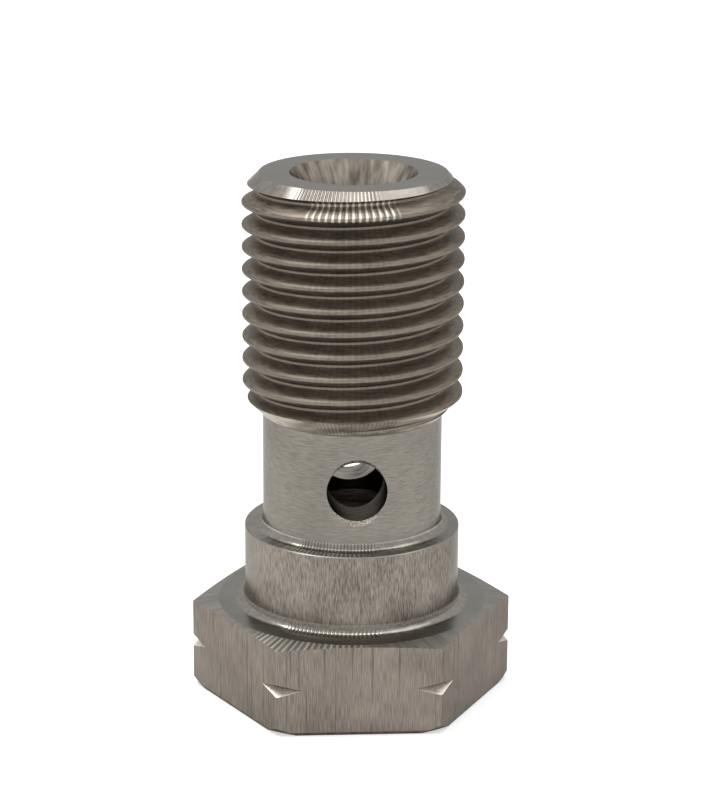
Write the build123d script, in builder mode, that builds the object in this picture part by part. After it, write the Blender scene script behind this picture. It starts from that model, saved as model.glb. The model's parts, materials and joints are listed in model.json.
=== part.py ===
"""Banjo bolt: a hollow hexagon-head bolt that carries fluid through a ring fitting.

The fluid enters at the threaded end, runs down the central bore and leaves through the
cross hole in the plain shank, where the eye of a banjo fitting sits. The bolt is turned
from one hexagon bar. It stands on its head, thread up: +Z runs from the foot of the head
to the threaded end, and the origin is the centre of the foot. A flat of the head and the
front mouth of the cross hole face -Y. All sizes are in millimetres.
"""

import os
from math import ceil, cos, pi, radians, tan

from build123d import *

# Hexagon head
hex_across_flats = 16.7       # made size of a 17 mm hexagon
hex_edge_radius = 0.25        # the rolled edges of drawn bar
head_height = 5.53
seat_diameter = 16.1          # the faced ring, inside a shallow chamfer
seat_chamfer_angle = 8.0
foot_chamfer_depth = 0.6      # measured inward from a corner
foot_chamfer_angle = 39.0
notch_depth = 0.64            # the turned ring that marks an inch thread
notch_angle = 62.0
notch_height = 2.83

# Collar that centres the seal and the eye of the fitting
collar_diameter = 12.85
collar_length = 4.77
collar_edge_break = 0.12
collar_root_radius = 0.6

# Plain shank inside the eye
shank_diameter = 10.65
shank_length = 7.0
shank_root_radius = 0.3
neck_radius = 0.3
neck_angle = 45.0

# Thread G 1/4 A, 55 degree form, right hand
thread_diameter = 13.03       # middle of the limits 12.907 and 13.157
thread_pitch = 1.337          # 19 to the inch
thread_length = 14.4          # from the foot of the neck to the end face
thread_flank_angle = 55.0
thread_depth_ratio = 0.640327 # of the pitch
thread_flat_ratio = 1 / 6     # of the pitch, at the crest and at the root
groove_run_in = 0.7           # from the start of the groove, at +X, up to the foot of the neck
groove_over_crest = 0.15      # how far the cut reaches over the crest, of the thread depth
end_face_diameter = 11.0
end_chamfer_angle = 45.0

# Central bore
bore_diameter = 5.2
bore_below_cross_hole = 2.4   # from the axis of the cross hole to the full bore's end
drill_point_angle = 118.0
mouth_diameter = 7.5
mouth_angle = 60.0

# Cross hole, through both walls
cross_hole_diameter = 3.55
cross_hole_height = 3.55      # above the collar
cross_hole_mouth_diameter = 4.05
cross_hole_mouth_angle = 90.0

# Heights of the faces
collar_top = head_height + collar_length
neck_foot = collar_top + shank_length
end_face = neck_foot + thread_length
first_turn = neck_foot - groove_run_in
cross_hole_z = collar_top + cross_hole_height
bore_end = cross_hole_z - bore_below_cross_hole

# Radii and thread section
bar_corner_radius = hex_across_flats / 2 / cos(pi / 6)
edge_rounding_loss = hex_edge_radius * (1 / cos(pi / 6) - 1)
corner_radius = bar_corner_radius - edge_rounding_loss
seat_radius = seat_diameter / 2
foot_radius = corner_radius - foot_chamfer_depth
collar_radius = collar_diameter / 2
shank_radius = shank_diameter / 2
thread_radius = thread_diameter / 2
end_face_radius = end_face_diameter / 2
bore_radius = bore_diameter / 2
thread_depth = thread_depth_ratio * thread_pitch
thread_root_radius = thread_radius - thread_depth
flank_slope = tan(radians(thread_flank_angle / 2))
groove_floor_half = thread_flat_ratio * thread_pitch / 2
groove_top_radius = thread_radius + groove_over_crest * thread_depth
groove_top_half = groove_floor_half + (groove_top_radius - thread_root_radius) * flank_slope


def ring_edge(part, radius, height):
    """The circular edge of a part nearest to one radius and height."""
    circles = part.edges().filter_by(GeomType.CIRCLE)
    return circles.sort_by(lambda edge: abs(edge.radius - radius) + abs(edge.center().Z - height))[0]


# Head: drawn hexagon bar, turned to a chamfered outline at both ends
with BuildPart() as head:
    with BuildSketch():
        RegularPolygon(hex_across_flats / 2, 6, major_radius=False)
    extrude(amount=head_height)
    fillet(head.edges().filter_by(Axis.Z), hex_edge_radius)
    seat_drop = (bar_corner_radius - seat_radius) * tan(radians(seat_chamfer_angle))
    foot_rise = (bar_corner_radius - foot_radius) * tan(radians(foot_chamfer_angle))
    with BuildSketch(Plane.XZ):
        with BuildLine():
            Polyline(
                (0, 0),
                (foot_radius, 0),
                (bar_corner_radius, foot_rise),
                (bar_corner_radius, head_height - seat_drop),
                (seat_radius, head_height),
                (0, head_height),
                close=True,
            )
        make_face()
    revolve(axis=Axis.Z, mode=Mode.INTERSECT)
    notch_reach = bar_corner_radius - corner_radius + notch_depth
    notch_half_height = notch_reach * tan(radians(notch_angle / 2))
    with BuildSketch(Plane.XZ):
        with BuildLine():
            Polyline(
                (corner_radius - notch_depth, notch_height),
                (bar_corner_radius, notch_height - notch_half_height),
                (bar_corner_radius, notch_height + notch_half_height),
                close=True,
            )
        make_face()
    revolve(axis=Axis.Z, mode=Mode.SUBTRACT)

# One turn of the thread groove: a straight-sided section between four helices, right hand
groove_corners = [
    (thread_root_radius, -groove_floor_half),
    (groove_top_radius, -groove_top_half),
    (groove_top_radius, groove_top_half),
    (thread_root_radius, groove_floor_half),
]
helices = [
    Edge.make_helix(thread_pitch, thread_pitch, radius, center=(0, 0, height))
    for radius, height in groove_corners
]
groove_sides = [
    Face.make_surface_from_curves(helices[side - 1], helices[side]) for side in range(4)
]
groove_ends = [
    Face(Wire.make_polygon([(radius, 0, height + lift) for radius, height in groove_corners]))
    for lift in (0, thread_pitch)
]
groove_turn = Solid(Shell(groove_sides + groove_ends))

# Whole bolt: collar, shank and thread on the head, then the bore and the cross hole
with BuildPart() as bolt:
    add(head.part)
    neck_top = neck_foot + (thread_radius - shank_radius) / tan(radians(neck_angle))
    chamfer_foot = end_face - (thread_radius - end_face_radius) * tan(radians(end_chamfer_angle))
    with BuildSketch(Plane.XZ):
        with BuildLine():
            Polyline(
                (0, head_height),
                (collar_radius, head_height),
                (collar_radius, collar_top),
                (shank_radius, collar_top),
                (shank_radius, neck_foot),
                (thread_radius, neck_top),
                (thread_radius, chamfer_foot),
                (end_face_radius, end_face),
                (0, end_face),
                close=True,
            )
        make_face()
    revolve(axis=Axis.Z)
    fillet(ring_edge(bolt, shank_radius, neck_foot), neck_radius)
    fillet(ring_edge(bolt, shank_radius, collar_top), shank_root_radius)
    chamfer(ring_edge(bolt, collar_radius, collar_top), collar_edge_break)
    fillet(ring_edge(bolt, collar_radius, head_height), collar_root_radius)

    # Thread
    turns = ceil((end_face - first_turn) / thread_pitch + 1 / 2)
    with Locations(*[(0, 0, first_turn + turn * thread_pitch) for turn in range(turns)]):
        add(groove_turn, mode=Mode.SUBTRACT)

    # Central bore with a drill point, opened at its mouth
    drill_point_end = bore_end - bore_radius / tan(radians(drill_point_angle / 2))
    mouth_radius = mouth_diameter / 2
    mouth_foot = end_face - (mouth_radius - bore_radius) / tan(radians(mouth_angle / 2))
    with BuildSketch(Plane.XZ):
        with BuildLine():
            Polyline(
                (0, drill_point_end),
                (bore_radius, bore_end),
                (bore_radius, mouth_foot),
                (mouth_radius, end_face),
                (0, end_face),
                close=True,
            )
        make_face()
    revolve(axis=Axis.Z, mode=Mode.SUBTRACT)

    # Cross hole, countersunk from both sides of the shank
    front_mouth = Plane((0, -shank_radius, cross_hole_z), x_dir=(1, 0, 0), z_dir=(0, -1, 0))
    rear_mouth = Plane((0, shank_radius, cross_hole_z), x_dir=(1, 0, 0), z_dir=(0, 1, 0))
    with Locations(front_mouth, rear_mouth):
        CounterSinkHole(
            radius=cross_hole_diameter / 2,
            counter_sink_radius=cross_hole_mouth_diameter / 2,
            depth=shank_radius,
            counter_sink_angle=cross_hole_mouth_angle,
        )

bolt.part.label = "banjo_bolt"

os.makedirs("parts", exist_ok=True)
export_step(bolt.part, "parts/banjo_bolt.step")
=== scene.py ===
"""Looks of the banjo bolt: one stainless steel bolt, turned and drilled from hexagon bar.

The bolt stands on its head on a white floor, as in the photograph. Its shapes are worked out
in millimetres in the frame's own axes, joined by exact cuts into one mesh and put into metres.
The thread is a helix from Geometry Nodes. Each finish is a procedural stainless steel on
Object coordinates.
"""

import json
from math import cos, pi, radians, sin, tan

import bmesh
import bpy
from mathutils import Matrix, Vector


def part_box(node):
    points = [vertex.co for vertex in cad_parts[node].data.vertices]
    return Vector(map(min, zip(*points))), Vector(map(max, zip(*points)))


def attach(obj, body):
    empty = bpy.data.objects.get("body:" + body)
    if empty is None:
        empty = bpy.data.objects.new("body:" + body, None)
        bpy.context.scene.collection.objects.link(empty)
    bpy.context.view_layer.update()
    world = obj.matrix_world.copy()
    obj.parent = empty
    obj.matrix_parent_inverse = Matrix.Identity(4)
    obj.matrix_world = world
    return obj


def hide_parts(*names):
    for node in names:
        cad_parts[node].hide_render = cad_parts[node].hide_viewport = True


MM = 0.001
NODE = "banjo_bolt"

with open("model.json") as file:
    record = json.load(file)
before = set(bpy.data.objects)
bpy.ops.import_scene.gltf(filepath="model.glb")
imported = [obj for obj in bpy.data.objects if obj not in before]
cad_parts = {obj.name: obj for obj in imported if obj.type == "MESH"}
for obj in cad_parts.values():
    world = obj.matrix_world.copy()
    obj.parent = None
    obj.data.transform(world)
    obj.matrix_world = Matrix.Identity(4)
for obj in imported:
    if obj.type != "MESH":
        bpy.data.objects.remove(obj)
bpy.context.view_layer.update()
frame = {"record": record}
bolt_low, bolt_high = (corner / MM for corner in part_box(NODE))
mounts = {mount["name"]: mount for mount in frame["record"]["mounts"]}

# All sizes from here to the joined bolt are in millimetres
# Head
across_flats = bolt_high.y - bolt_low.y
seat_z = mounts["seat"]["pos_m"][2] / MM
hex_edge_radius = 0.25
foot_edge_inset = 0.12
foot_edge_height = 0.22
seat_radius = 8.05
seat_chamfer_angle = radians(8)
foot_chamfer_depth = 0.6
foot_chamfer_angle = radians(39)
notch_depth = 0.64
notch_z = 2.83
notch_slope = tan(radians(62 / 2))
bar_corner_radius = across_flats / 2 / cos(pi / 6)
corner_radius = bar_corner_radius - hex_edge_radius * (1 / cos(pi / 6) - 1)

# Collar, shank and neck
collar_radius = mounts["collar"]["dims"]["r_mm"]
collar_top = 10.3
collar_edge_break = 0.06          # less than the solid's, which is too wide a line in the light
collar_root_radius = 0.6
shank_radius = 5.325
shank_root_radius = 0.45          # more than the solid's, for the wide light band in the photograph
neck_foot = 17.3
neck_radius = 0.3

# Thread G 1/4 A, right hand, with the rounded crests and roots that the solid leaves out
end_face = bolt_high.z
end_face_radius = 5.5
thread_radius = 6.515
thread_pitch = 1.337
thread_depth = 0.640327 * thread_pitch
thread_root_radius = thread_radius - thread_depth
thread_flank_rise = 1 / tan(radians(55 / 2))
thread_rounding = 0.17 * thread_pitch    # blends the flanks as the form's 0.137 pitch radius does
groove_start = 188.5 / 360               # turns from +X to where the groove meets the neck's foot
thread_flats = 6                         # the unrounded form's flats are a sixth of a pitch
thread_turns = 15
turns_below = 2                          # turns of the helix that start below the neck's foot
blank_start = 0.1                        # above the neck's foot
blank_sink = 2                           # less blank_start, how far under the seat its foot ends
crest_clearance = 0.5                    # of the outline outside the crests
blank_foot_radius = 7.5                  # the thread's blank is wider than the collar and its root
blank_overrun = 0.5

# Bore and cross hole
bore_radius = mounts["bore"]["dims"]["r_mm"]
bore_end = 11.45
drill_point_slope = tan(radians(118 / 2))
mouth_radius = 3.75
mouth_slope = tan(radians(60 / 2))
cross_radius = mounts["cross_hole"]["dims"]["r_mm"]
cross_z = mounts["cross_hole"]["pos_m"][2] / MM
cross_mouth_radius = 2.025

# How far each cutting shape goes past what it cuts
overrun = 1

# Gaps that are closed: between doubled points, and across the slivers that cuts leave
doubled_gap = 1e-5
sliver_gap = 4e-4

# Fineness of the meshes
turn_steps = 360
bore_steps = 256
hole_steps = 128
thread_turn_steps = 192
thread_pitch_steps = 20
edge_steps = 6
sharp_angle = radians(25)

# Chatter's bars, with their painted highlight and painted shade, come in one stretch of the turn, at
# the front where the bars mirror the soft boxes
chatter_edge = cos(radians(26))
chatter_full = cos(radians(20))
chatter_fade_height = 0.1
faint_chatter = 0.06
# Only the first turn has strong bars of painted highlight; the turns below it lie in the shade of the
# turn above
strong_thread_chatter = end_face - 1.5   # height of the first turn, the only one with strong bars

# Middles of the chattered stretches, in degrees from +X
front = -91
thread_front = -94
front_left = -102
shoulder_front_left = -111


def linear(hex_colour):
    """A colour written as sRGB hex, as linear RGBA."""
    channels = [int(hex_colour[place : place + 2], 16) / 255 for place in (1, 3, 5)]
    return tuple(c / 12.92 if c <= 0.04045 else ((c + 0.055) / 1.055) ** 2.4 for c in channels) + (1,)


def add(tree, kind, inputs, **settings):
    """Adds one node with its settings; each input takes a value, an output or a node's first output."""
    node = tree.nodes.new(kind)
    for name, value in settings.items():
        setattr(node, name, value)
    for socket, value in inputs.items():
        if isinstance(value, bpy.types.Node):
            value = value.outputs[0]
        if isinstance(value, bpy.types.NodeSocket):
            tree.links.new(value, node.inputs[socket])
        else:
            node.inputs[socket].default_value = value
    return node


# Steel reflects less at a grazing view than a plain metal shader does, so its rims stay grey
rim_tint = linear("#D0D0CE")

# Mottle: the grain's noise with a share of a broad cloud, from the dark colour to the light one
broad_cloud = 3.5 * MM
cloud_share = 0.3
mottle_dark = 0.36
mottle_light = 0.64

# Scratches start and are full where their noise passes these values
scratch_start = 0.69
scratch_full = 0.76
scratch_shade = 0.55

# Bars take their colour, a painted highlight on bright bars and painted shade on dark ones, in the
# hollows of their wave, fully at this height of it
full_hollow = -0.7

# Colours of scratches and of the painted shade of dark bars, and of the painted highlight of bright
# bars
scratch_and_painted_shade_colour = linear("#4A423C")
painted_highlight_colour = linear("#F2ECE2")

# Roughness rises and falls by a share of itself between two values of the grain's noise
gloss_low = 0.3
gloss_high = 0.7
gloss_share = 0.15


def steel(
    name,
    dark,
    light,
    roughness,
    grain,
    grain_depth,
    streak_radius=None,
    scratches=None,
    chatter=None,
    rim=rim_tint,
):
    """A finish of stainless steel, whose colour, gloss and bump follow one grain.

    grain is the size of its cells along X, Y and Z, and grain_depth their height, in millimetres.
    A streak radius makes it streaks that point at the bolt's axis, as wide at that radius as
    the cells. scratches are the cells of a sparse dark scoring. chatter gives the number of bars
    round the bolt, their depth, how strongly they take a colour, that colour (painted highlight on
    bright bars, painted shade on dark ones), the middle of their stretch in degrees from +X, and
    the height below which they are faint. rim is the tint of its grazing reflections.
    """
    material = bpy.data.materials.new(name)
    material.use_nodes = True
    tree = material.node_tree
    tree.nodes.clear()
    place = add(tree, "ShaderNodeTexCoord", {}).outputs["Object"]
    pattern_place = place
    if streak_radius:
        level = add(tree, "ShaderNodeVectorMath", {0: place, 1: (1, 1, 0)}, operation="MULTIPLY")
        rise = add(tree, "ShaderNodeVectorMath", {0: place, 1: level}, operation="SUBTRACT")
        toward = add(tree, "ShaderNodeVectorMath", {0: level}, operation="NORMALIZE")
        reach = [streak_radius * MM] * 3
        pattern_place = add(
            tree, "ShaderNodeVectorMath", {0: toward, 1: reach, 2: rise}, operation="MULTIPLY_ADD"
        )
    cells = [size * MM for size in grain]
    stretched = add(tree, "ShaderNodeVectorMath", {0: pattern_place, 1: cells}, operation="DIVIDE")
    fine = add(tree, "ShaderNodeTexNoise", {"Vector": stretched, "Scale": 1.0, "Detail": 2.0})
    broad = add(tree, "ShaderNodeTexNoise", {"Vector": place, "Scale": 1 / broad_cloud, "Detail": 2.0})
    mottle = add(tree, "ShaderNodeMix", {"Factor": cloud_share, "A": fine, "B": broad})
    spread = add(
        tree,
        "ShaderNodeMapRange",
        {"Value": mottle, "From Min": mottle_dark, "From Max": mottle_light},
    )
    tint = add(tree, "ShaderNodeMix", {0: spread, 6: dark, 7: light}, data_type="RGBA").outputs[2]
    if scratches:
        long_cells = [size * MM for size in scratches]
        scored = add(tree, "ShaderNodeVectorMath", {0: place, 1: long_cells}, operation="DIVIDE")
        lines = add(tree, "ShaderNodeTexNoise", {"Vector": scored, "Scale": 1.0, "Detail": 0.0})
        deep = add(
            tree,
            "ShaderNodeMapRange",
            {
                "Value": lines,
                "From Min": scratch_start,
                "From Max": scratch_full,
                "To Max": scratch_shade,
            },
        )
        tint = add(
            tree,
            "ShaderNodeMix",
            {0: deep, 6: tint, 7: scratch_and_painted_shade_colour},
            data_type="RGBA",
        ).outputs[2]
    bump = add(tree, "ShaderNodeBump", {"Distance": grain_depth * MM, "Height": fine})
    if chatter:
        bars, bar_depth, painted_bar_strength, painted_bar_colour, bars_middle, bars_above = chatter
        split = add(tree, "ShaderNodeSeparateXYZ", {0: place})
        around = add(
            tree,
            "ShaderNodeMath",
            {0: split.outputs["Y"], 1: split.outputs["X"]},
            operation="ARCTAN2",
        )
        bar_angle = add(tree, "ShaderNodeMath", {0: around, 1: float(bars)}, operation="MULTIPLY")
        wave = add(tree, "ShaderNodeMath", {0: bar_angle}, operation="SINE")
        from_middle = add(
            tree,
            "ShaderNodeMath",
            {0: around, 1: radians(bars_middle)},
            operation="SUBTRACT",
        )
        nearness = add(tree, "ShaderNodeMath", {0: from_middle}, operation="COSINE")
        stretch = add(
            tree,
            "ShaderNodeMapRange",
            {"Value": nearness, "From Min": chatter_edge, "From Max": chatter_full},
        )
        fade = add(
            tree,
            "ShaderNodeMapRange",
            {
                "Value": split.outputs["Z"],
                "From Min": (bars_above - chatter_fade_height) * MM,
                "From Max": bars_above * MM,
                "To Min": faint_chatter,
            },
        )
        strength = add(tree, "ShaderNodeMath", {0: stretch, 1: fade}, operation="MULTIPLY")
        height = add(tree, "ShaderNodeMath", {0: wave, 1: strength}, operation="MULTIPLY")
        bump = add(
            tree,
            "ShaderNodeBump",
            {"Distance": bar_depth * MM, "Height": height, "Normal": bump},
        )
        # Colour painted into the bars' hollows: highlight for bright bars, shade for dark ones
        hollow = add(
            tree,
            "ShaderNodeMapRange",
            {"Value": height, "From Min": 0.0, "From Max": full_hollow, "To Max": painted_bar_strength},
        )
        tint = add(
            tree,
            "ShaderNodeMix",
            {0: hollow, 6: tint, 7: painted_bar_colour},
            data_type="RGBA",
        ).outputs[2]
    gloss = add(
        tree,
        "ShaderNodeMapRange",
        {
            "Value": fine,
            "From Min": gloss_low,
            "From Max": gloss_high,
            "To Min": roughness * (1 - gloss_share),
            "To Max": roughness * (1 + gloss_share),
        },
    )
    shader = add(
        tree,
        "ShaderNodeBsdfPrincipled",
        {
            "Metallic": 1.0,
            "Base Color": tint,
            "Roughness": gloss,
            "Specular Tint": rim,
            "Normal": bump,
        },
    )
    add(tree, "ShaderNodeOutputMaterial", {"Surface": shader})
    return material


# Real grains are 0.01 to 0.05 mm across; the finest are drawn at 0.05 to 0.15 mm, to show
materials = {
    # Faced in the lathe: smooth and even, nearly a mirror
    "faced": steel(
        "faced stainless steel", linear("#878580"), linear("#908E89"), 0.28, (2, 2, 2), 0.001
    ),
    # Shank, turned with a fine feed: short faint lines round the axis
    "shank": steel(
        "shank turned in stainless steel",
        linear("#6E6962"),
        linear("#88837B"),
        0.3,
        (0.6, 0.6, 0.05),
        0.001,
    ),
    # Collar, scuffed along the axis by the rings it was tried in: satin, with fine upright specks
    "collar": steel(
        "collar scuffed in stainless steel",
        linear("#5E564F"),
        linear("#979087"),
        0.34,
        (0.05, 0.05, 0.5),
        0.002,
    ),
    # End chamfer and root radii, where the tool chattered: radial bars that mirror the soft boxes, with
    # painted shade in their hollows at the front left
    "chamfer": steel(
        "chatter-marked steel with painted shade",
        linear("#8C8780"),
        linear("#A09B93"),
        0.2,
        (0.4, 0.4, 0.4),
        0.001,
        chatter=(170, 0.018, 0.55, scratch_and_painted_shade_colour, front_left, 0),
    ),
    # Collar's top and the shallow chamfer round the seat, turned coarser than the seat: satin,
    # with faint streaks toward the axis and pale bars of painted highlight at the front left
    "shoulder": steel(
        "shoulder steel with painted highlight",
        linear("#8A8782"),
        linear("#9A9791"),
        0.45,
        (0.3, 0.3, 1.0),
        0.002,
        streak_radius=8.5,
        chatter=(150, 0.008, 0.65, painted_highlight_colour, shoulder_front_left, 0),
    ),
    # Cold-drawn bar: the six flats, with fine lines and a few dark scratches along the axis
    "drawn": steel(
        "drawn stainless steel",
        linear("#645C56"),
        linear("#8C837A"),
        0.36,
        (0.05, 0.05, 1.0),
        0.0015,
        scratches=(0.13, 0.13, 14.0),
    ),
    # Cut thread: soft lines that follow the turns, with slow chatter whose bars carry painted
    # highlight, strong on the first turn only
    "thread": steel(
        "thread steel with painted highlight",
        linear("#6B635B"),
        linear("#8B8277"),
        0.47,
        (0.7, 0.7, 0.06),
        0.002,
        chatter=(105, 0.02, 0.5, painted_highlight_colour, thread_front, strong_thread_chatter),
    ),
    # Neck, the cone where the thread runs out: light and blotchy, its light colour a painted highlight
    # on this downward-facing cone, with painted shade in its bars at the front
    "neck": steel(
        "neck steel, blotchy, with painted highlight",
        linear("#9E968B"),
        linear("#D2CABE"),
        0.42,
        (1.2, 1.2, 0.3),
        0.003,
        chatter=(170, 0.012, 0.25, scratch_and_painted_shade_colour, front, 0),
    ),
    # Lower side of the notch, torn by a worn tool: grainy; its near-white colour is painted light from
    # above, and its dark rim tint darkens it from the side
    "notch": steel(
        "notch steel, torn, with painted light",
        linear("#E4DCD1"),
        linear("#FFFAF2"),
        0.55,
        (0.15, 0.15, 0.15),
        0.01,
        rim=linear("#4A463F"),
    ),
    # Edges of the foot: dark, with painted shade that stands in for the floor's contact shadow they
    # mirror
    "painted_foot_shadow": steel(
        "foot steel with painted shadow", linear("#4A443E"), linear("#6A625B"), 0.45, (0.3, 0.3, 0.3), 0.004
    ),
    # Countersunk mouth of the bore: light and dark streaks down its wall
    "mouth": steel(
        "countersunk stainless steel",
        linear("#645C54"),
        linear("#AFA599"),
        0.28,
        (0.45, 0.45, 1.6),
        0.006,
        streak_radius=3.2,
    ),
    # Bore, drilled along the axis, with rings; its dark colour is painted shade inside the bore
    "bored": steel(
        "bore steel with painted shade", linear("#26221F"), linear("#4A443E"), 0.45, (1.2, 1.2, 0.15), 0.02
    ),
    # Cross hole's front half: painted shade makes it dark, with coarse bright rings round its own axis
    "cross_wall_painted_shade": steel(
        "cross-hole front steel with painted shade",
        linear("#171412"),
        linear("#756D65"),
        0.32,
        (1.2, 0.11, 1.2),
        0.04,
    ),
    # Its rear half: the same rings, but paler and brighter, painted as lit by light that comes in
    # through the rear mouth
    "cross_wall_painted_light": steel(
        "cross-hole rear steel with painted light",
        linear("#2B2723"),
        linear("#B9B0A5"),
        0.2,
        (1.2, 0.11, 1.2),
        0.02,
    ),
    # Mouths of the cross hole, broken by hand: rough and specked
    "burred": steel(
        "burred stainless steel",
        linear("#6E665E"),
        linear("#DAD1C5"),
        0.42,
        (0.12, 0.12, 0.12),
        0.015,
    ),
}
finish_order = list(materials)


def arc(centre_r, centre_z, radius, start, end):
    """Points of an outline along an arc, with its angles in degrees."""
    angles = [radians(start + (end - start) * step / edge_steps) for step in range(edge_steps + 1)]
    return [(centre_r + radius * cos(a), centre_z + radius * sin(a)) for a in angles]


def close_mesh(mesh, gap=doubled_gap):
    """Merges the doubled points of a closed mesh, drops slivers and turns its faces outward."""
    shape = bmesh.new()
    shape.from_mesh(mesh)
    bmesh.ops.remove_doubles(shape, verts=shape.verts, dist=gap)
    bmesh.ops.dissolve_degenerate(shape, dist=gap, edges=shape.edges)
    bmesh.ops.recalc_face_normals(shape, faces=shape.faces)
    shape.to_mesh(mesh)
    shape.free()


def take_finishes(mesh, finishes):
    """Gives a mesh the bolt's materials; finishes has one name for each face."""
    mesh.materials.clear()
    for finish in finish_order:
        mesh.materials.append(materials[finish])
    for face, finish in zip(mesh.polygons, finishes):
        face.material_index = finish_order.index(finish)


def solid(name, points, faces, finishes):
    """A closed mesh object in the scene."""
    mesh = bpy.data.meshes.new(name)
    mesh.from_pydata(points, [], faces)
    take_finishes(mesh, finishes)
    close_mesh(mesh)
    made = bpy.data.objects.new(name, mesh)
    bpy.context.scene.collection.objects.link(made)
    return made


def band(row, count):
    """Faces between two neighbouring rows of points that run round the bolt."""
    near = [row * count + step for step in range(count)]
    far = near[1:] + near[:1]
    return [(a, b, b + count, a + count) for a, b in zip(near, far)]


def lathe(name, spans, steps=turn_steps):
    """A solid turned about Z from spans of (finish, outline points), first and last on the axis."""
    outline = [spans[0][1][0]]
    ring_finishes = []
    for finish, stretch in spans:
        for point in stretch:
            if (Vector(point) - Vector(outline[-1])).length > 1e-6:
                outline.append(point)
                ring_finishes.append(finish)
    turns = [(cos(2 * pi * step / steps), sin(2 * pi * step / steps)) for step in range(steps)]
    points = [(r * x, r * y, z) for r, z in outline for x, y in turns]
    faces = []
    finishes = []
    for ring, finish in enumerate(ring_finishes):
        faces += band(ring, steps)
        finishes += [finish] * steps
    return solid(name, points, faces, finishes)


def cut(target, tool, operation):
    """Joins, cuts or trims the target with a tool, which is used up."""
    modifier = target.modifiers.new("cut", "BOOLEAN")
    modifier.operation = operation
    modifier.object = tool
    modifier.solver = "MANIFOLD"
    evaluated = target.evaluated_get(bpy.context.evaluated_depsgraph_get())
    joined = bpy.data.meshes.new_from_object(evaluated)
    target.modifiers.remove(modifier)
    target.data = joined
    bpy.data.objects.remove(tool)


def hexagon_bar():
    """Drawn bar with rolled edges and a broken foot edge, longer than the head at both ends."""
    centre_distance = (across_flats / 2 - hex_edge_radius) / cos(pi / 6)
    outline = []
    for corner in range(6):
        toward = radians(60 * corner)
        for step in range(edge_steps + 1):
            a = toward + radians(60 * step / edge_steps - 30)
            x = centre_distance * cos(toward) + hex_edge_radius * cos(a)
            y = centre_distance * sin(toward) + hex_edge_radius * sin(a)
            outline.append((x, y))
    count = len(outline)
    foot_scale = 1 - foot_edge_inset / (across_flats / 2)
    rows = [(foot_scale, -overrun), (foot_scale, 0), (1, foot_edge_height), (1, seat_z + overrun)]
    points = [(x * scale, y * scale, z) for scale, z in rows for x, y in outline]
    faces = []
    finishes = []
    # The foot's broken edge, the middle row, takes the finish with painted shade of the floor's shadow
    for row, finish in enumerate(("drawn", "painted_foot_shadow", "drawn")):
        faces += band(row, count)
        finishes += [finish] * count
    last = len(rows) - 1
    faces += [tuple(range(count)), tuple(range(last * count, (last + 1) * count))]
    return solid("hexagon bar", points, faces, finishes + ["drawn"] * 2)


def head():
    """The bar turned to its chamfers, with the notch ring across its corners."""
    reach = bar_corner_radius + overrun
    foot_radius = corner_radius - foot_chamfer_depth
    foot_side = (reach - foot_radius) * tan(foot_chamfer_angle)
    seat_side = seat_z - (reach - seat_radius) * tan(seat_chamfer_angle)
    turned = lathe(
        "head outline",
        [
            ("faced", [(0, 0), (foot_radius, 0)]),
            # The foot chamfer takes the finish with painted shade of the floor's shadow
            ("painted_foot_shadow", [(reach, foot_side)]),
            ("drawn", [(reach, seat_side)]),
            ("shoulder", [(seat_radius, seat_z)]),
            ("faced", [(0, seat_z)]),
        ],
    )
    valley_radius = corner_radius - notch_depth
    half = (reach - valley_radius) * notch_slope
    ring = lathe(
        "notch ring",
        [
            # The notch's lower side takes the finish with painted light from above
            ("notch", [(valley_radius, notch_z), (reach, notch_z - half)]),
            ("drawn", [(reach, notch_z + half), (valley_radius, notch_z)]),
        ],
    )
    bar = hexagon_bar()
    cut(bar, turned, "INTERSECT")
    cut(bar, ring, "DIFFERENCE")
    return bar


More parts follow.
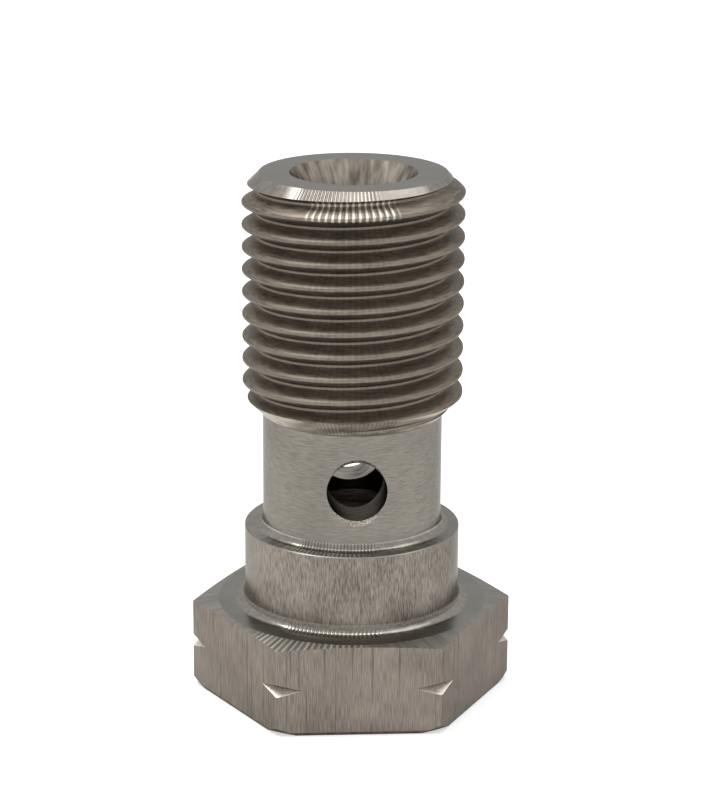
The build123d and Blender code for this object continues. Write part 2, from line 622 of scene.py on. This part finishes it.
def thread_tree(sizes):
    """Geometry Nodes: a tube whose rows follow the helix, with the thread's rounded section."""
    tree = bpy.data.node_groups.new("thread", "GeometryNodeTree")
    tree.interface.new_socket("Geometry", in_out="OUTPUT", socket_type="NodeSocketGeometry")
    for name in sizes:
        tree.interface.new_socket(name, in_out="INPUT", socket_type="NodeSocketFloat")
    tree.interface.new_socket("Finish", in_out="INPUT", socket_type="NodeSocketMaterial")
    given = add(tree, "NodeGroupInput", {}).outputs

    # A flat grid, one turn wide and as many pitches tall as the thread needs
    grid = add(
        tree,
        "GeometryNodeMeshGrid",
        {
            "Size X": 1.0,
            "Size Y": 1.0,
            "Vertices X": thread_turn_steps + 1,
            "Vertices Y": thread_turns * thread_pitch_steps + 1,
        },
    )
    spot = add(tree, "GeometryNodeInputPosition", {})
    from_corner = add(tree, "ShaderNodeVectorMath", {0: spot, 1: (0.5, 0.5, 0)}, operation="ADD")
    split = add(tree, "ShaderNodeSeparateXYZ", {0: from_corner})
    across = split.outputs["X"]
    angle = add(tree, "ShaderNodeMath", {0: across, 1: 2 * pi}, operation="MULTIPLY")
    up = split.outputs["Y"]
    pitches = add(tree, "ShaderNodeMath", {0: up, 1: float(thread_turns)}, operation="MULTIPLY")

    # Each row climbs one pitch in its turn and stops level at the bottom and the top
    climbed = add(tree, "ShaderNodeMath", {0: pitches, 1: across}, operation="ADD")
    height = add(
        tree,
        "ShaderNodeMath",
        {0: climbed, 1: given["Pitch"], 2: given["First groove"]},
        operation="MULTIPLY_ADD",
    )
    level = add(
        tree, "ShaderNodeClamp", {"Value": height, "Min": given["Bottom"], "Max": given["Top"]}
    )
    inside = add(tree, "ShaderNodeMath", {0: height, 1: level, 2: 1e-4}, operation="COMPARE")

    # Straight flanks rise from the middle of the groove; smooth limits round the root and the crest
    from_groove = add(tree, "ShaderNodeMath", {0: pitches, 1: 0.5}, operation="PINGPONG")
    flank = add(
        tree,
        "ShaderNodeMath",
        {0: from_groove, 1: given["Flank rise"], 2: given["Root cut"]},
        operation="MULTIPLY_ADD",
    )
    crested = add(
        tree,
        "ShaderNodeMath",
        {0: flank, 1: given["Depth"], 2: given["Rounding"]},
        operation="SMOOTH_MIN",
    )
    section = add(
        tree, "ShaderNodeMath", {0: crested, 1: 0.0, 2: given["Rounding"]}, operation="SMOOTH_MAX"
    )
    radius = add(
        tree,
        "ShaderNodeMath",
        {0: section, 1: inside, 2: given["Root radius"]},
        operation="MULTIPLY_ADD",
    )
    unturned = add(tree, "ShaderNodeCombineXYZ", {"X": radius, "Z": level})
    turned = add(
        tree,
        "ShaderNodeVectorRotate",
        {"Vector": unturned, "Angle": angle},
        rotation_type="Z_AXIS",
    )
    placed = add(tree, "GeometryNodeSetPosition", {"Geometry": grid, "Position": turned})
    merged = add(tree, "GeometryNodeMergeByDistance", {"Geometry": placed, "Distance": 1e-4})
    real = add(tree, "GeometryNodeRealizeInstances", {"Geometry": merged})
    finished = add(
        tree, "GeometryNodeSetMaterial", {"Geometry": real, "Material": given["Finish"]}
    )
    add(tree, "NodeGroupOutput", {"Geometry": finished})
    return tree


def thread_blank():
    """The helix as a closed solid, on a foot wider than the collar."""
    sizes = {
        "Pitch": thread_pitch,
        "Root radius": thread_root_radius,
        "Depth": thread_depth,
        "Flank rise": thread_pitch * thread_flank_rise,
        "Root cut": -thread_pitch / 2 * thread_flank_rise / thread_flats,
        "Rounding": thread_rounding,
        "Bottom": neck_foot + blank_start,
        "Top": end_face + blank_overrun,
        "First groove": neck_foot - (groove_start + turns_below) * thread_pitch,
    }
    tree = thread_tree(sizes)
    blank = bpy.data.objects.new("thread", bpy.data.meshes.new("thread"))
    bpy.context.scene.collection.objects.link(blank)
    modifier = blank.modifiers.new("thread", "NODES")
    modifier.node_group = tree
    for item in tree.interface.items_tree:
        if item.in_out == "INPUT":
            is_finish = item.name == "Finish"
            modifier[item.identifier] = materials["thread"] if is_finish else sizes[item.name]
    evaluated = blank.evaluated_get(bpy.context.evaluated_depsgraph_get())
    blank.data = bpy.data.meshes.new_from_object(evaluated)
    blank.modifiers.remove(modifier)

    shape = bmesh.new()
    shape.from_mesh(blank.data)
    bmesh.ops.dissolve_degenerate(shape, dist=doubled_gap, edges=shape.edges)
    rim = [edge for edge in shape.edges if edge.is_boundary]
    foot = [edge for edge in rim if edge.verts[0].co.z < (neck_foot + end_face) / 2]
    top = [edge for edge in rim if edge not in foot]
    bmesh.ops.contextual_create(shape, geom=top)
    widened = (blank_foot_radius / thread_root_radius, 0)
    lowered = (1, neck_foot - seat_z + blank_sink)
    for scale, drop in (widened, lowered):
        extruded = bmesh.ops.extrude_edge_only(shape, edges=foot)["geom"]
        for vertex in (item for item in extruded if isinstance(item, bmesh.types.BMVert)):
            vertex.co = (vertex.co.x * scale, vertex.co.y * scale, vertex.co.z - drop)
        foot = [item for item in extruded if isinstance(item, bmesh.types.BMEdge)]
    bmesh.ops.contextual_create(shape, geom=foot)
    shape.to_mesh(blank.data)
    shape.free()
    close_mesh(blank.data)
    take_finishes(blank.data, ["thread"] * len(blank.data.polygons))
    return blank


def stem_outline():
    """Collar, shank, neck and end chamfer; it clears the thread's crests in between."""
    clear_radius = thread_radius + crest_clearance
    foot_z = seat_z - overrun
    root_z = seat_z + collar_root_radius
    root_outer = collar_radius + collar_root_radius
    collar_edge = collar_radius - collar_edge_break
    shank_root = shank_radius + shank_root_radius
    neck_z = neck_foot - neck_radius * tan(radians(45 / 2))
    return lathe(
        "stem outline",
        [
            ("collar", [(0, foot_z), (root_outer, foot_z), (root_outer, seat_z)]),
            ("chamfer", arc(root_outer, root_z, collar_root_radius, -90, -145)),
            ("collar", arc(root_outer, root_z, collar_root_radius, -145, -180)),
            ("collar", [(collar_radius, collar_top - collar_edge_break)]),
            ("faced", [(collar_edge, collar_top)]),
            ("shoulder", [(shank_root, collar_top)]),
            ("chamfer", arc(shank_root, collar_top + shank_root_radius, shank_root_radius, -90, -180)),
            ("shank", [(shank_radius, neck_z)]),
            ("shank", arc(shank_radius + neck_radius, neck_z, neck_radius, 180, 135)),
            # The cone at the thread's runout takes the finish with painted highlight
            ("neck", [(clear_radius, neck_foot + clear_radius - shank_radius)]),
            ("shank", [(clear_radius, end_face - clear_radius + end_face_radius)]),
            ("chamfer", [(end_face_radius, end_face)]),
            ("faced", [(0, end_face)]),
        ],
    )


def bore():
    """The drill and the countersink at the bore's mouth, both carried on past the end face."""
    drill_tip = bore_end - bore_radius / drill_point_slope
    mouth_foot = end_face - (mouth_radius - bore_radius) / mouth_slope
    return lathe(
        "bore",
        [
            # The bore's wall takes the finish with painted shade
            ("bored", [(0, drill_tip), (bore_radius, bore_end), (bore_radius, mouth_foot)]),
            ("mouth", [(mouth_radius + overrun * mouth_slope, end_face + overrun)]),
            ("mouth", [(0, end_face + overrun)]),
        ],
        bore_steps,
    )


def cross_hole():
    """The drill through both walls, with a broken edge at each mouth."""
    half_length = shank_radius - (cross_mouth_radius - cross_radius)
    outer = shank_radius + overrun
    tool = lathe(
        "cross hole",
        [
            ("burred", [(0, -outer), (cross_mouth_radius + overrun, -outer)]),
            ("burred", [(cross_radius, -half_length)]),
            # Rear half of the wall painted lit, front half painted shaded
            ("cross_wall_painted_light", [(cross_radius, 0)]),
            ("cross_wall_painted_shade", [(cross_radius, half_length)]),
            ("burred", [(cross_mouth_radius + overrun, outer), (0, outer)]),
        ],
        hole_steps,
    )
    tool.data.transform(Matrix.Translation((0, 0, cross_z)) @ Matrix.Rotation(pi / 2, 4, "X"))
    return tool


bolt = thread_blank()
cut(bolt, stem_outline(), "INTERSECT")
cut(bolt, head(), "UNION")
cut(bolt, bore(), "DIFFERENCE")
cut(bolt, cross_hole(), "DIFFERENCE")
close_mesh(bolt.data, gap=sliver_gap)
bolt.name = "stainless_banjo_bolt"
bolt.data.transform(Matrix.Scale(MM, 4))
bolt.data.shade_smooth()
bolt.data.set_sharp_from_angle(angle=sharp_angle)
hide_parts(NODE)
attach(bolt, "root")


def seen_or_mirrored(tree):
    """1 for rays from the camera and for rays that left metal or glass, else 0."""
    path = add(tree, "ShaderNodeLightPath", {})
    mirrored = add(
        tree,
        "ShaderNodeMath",
        {0: path.outputs["Is Glossy Ray"], 1: path.outputs["Is Transmission Ray"]},
        operation="MAXIMUM",
    )
    return add(
        tree,
        "ShaderNodeMath",
        {0: path.outputs["Is Camera Ray"], 1: mirrored},
        operation="MAXIMUM",
    )


# Floor: white paper that keeps the bolt's shadow, from here on in metres
half_floor = 0.6
paper_glow = 0.52
corners = [(-1, -1), (1, -1), (1, 1), (-1, 1)]
floor_mesh = bpy.data.meshes.new("floor")
floor_mesh.from_pydata([(x * half_floor, y * half_floor, 0) for x, y in corners], [], [(0, 1, 2, 3)])
paper = bpy.data.materials.new("white paper")
paper.use_nodes = True
paper_tree = paper.node_tree
paper_tree.nodes.clear()
matt = add(paper_tree, "ShaderNodeBsdfDiffuse", {"Color": linear("#E8E8E8")})
glow = add(paper_tree, "ShaderNodeEmission", {"Strength": paper_glow})
lit = add(paper_tree, "ShaderNodeAddShader", {0: matt, 1: glow})
shown = add(paper_tree, "ShaderNodeMixShader", {0: seen_or_mirrored(paper_tree), 1: matt, 2: lit})
add(paper_tree, "ShaderNodeOutputMaterial", {"Surface": shown})
floor_mesh.materials.append(paper)
floor = bpy.data.objects.new("floor", floor_mesh)
bpy.context.scene.collection.objects.link(floor)

# World: a white studio, a little dimmer as light on the floor than as it is seen
room_light = 0.7
room_seen = 1.0
world = bpy.data.worlds.new("studio")
world.use_nodes = True
world_tree = world.node_tree
world_tree.nodes.clear()
room = add(world_tree, "ShaderNodeBackground", {"Strength": room_light})
white = add(world_tree, "ShaderNodeBackground", {"Strength": room_seen})
studio = add(world_tree, "ShaderNodeMixShader", {0: seen_or_mirrored(world_tree), 1: room, 2: white})
add(world_tree, "ShaderNodeOutputWorld", {"Surface": studio})
bpy.context.scene.world = world

# Two soft boxes side by side overhead, the left one brighter: their mirror images light the
# bars on the chamfers and the plain band to the right of the bars. Each row has a name, the
# place along X, the width and the power in watts
soft_boxes = [
    ("left soft box", -0.07, 0.17, 0.35),
    ("right soft box", 0.1125, 0.195, 0.11),
]
box_height = 0.22
box_behind = 0.02
box_depth = 0.14
for name, place, width, power in soft_boxes:
    soft_box = bpy.data.lights.new(name, "AREA")
    soft_box.shape = "RECTANGLE"
    soft_box.size = width
    soft_box.size_y = box_depth
    soft_box.energy = power
    lamp = bpy.data.objects.new(name, soft_box)
    lamp.location = (place, box_behind, box_height)
    bpy.context.scene.collection.objects.link(lamp)

# Camera, placed by fitting the photograph's outlines to the sizes above
camera_place = Vector((-8.89, -150.08, 63.32)) * MM
camera_turn = -0.0584
camera_dip = 0.2934
camera_roll = 0.0052
lens = bpy.data.cameras.new("camera")
lens.sensor_fit = "HORIZONTAL"
lens.sensor_width = 36
lens.lens = 135.9
lens.clip_start = 0.01
camera = bpy.data.objects.new("camera", lens)
camera.matrix_world = (
    Matrix.Translation(camera_place)
    @ Matrix.Rotation(camera_turn, 4, "Z")
    @ Matrix.Rotation(pi / 2 - camera_dip, 4, "X")
    @ Matrix.Rotation(camera_roll, 4, "Z")
)
bpy.context.scene.collection.objects.link(camera)
bpy.context.scene.camera = camera
bpy.context.scene.view_settings.view_transform = "Standard"
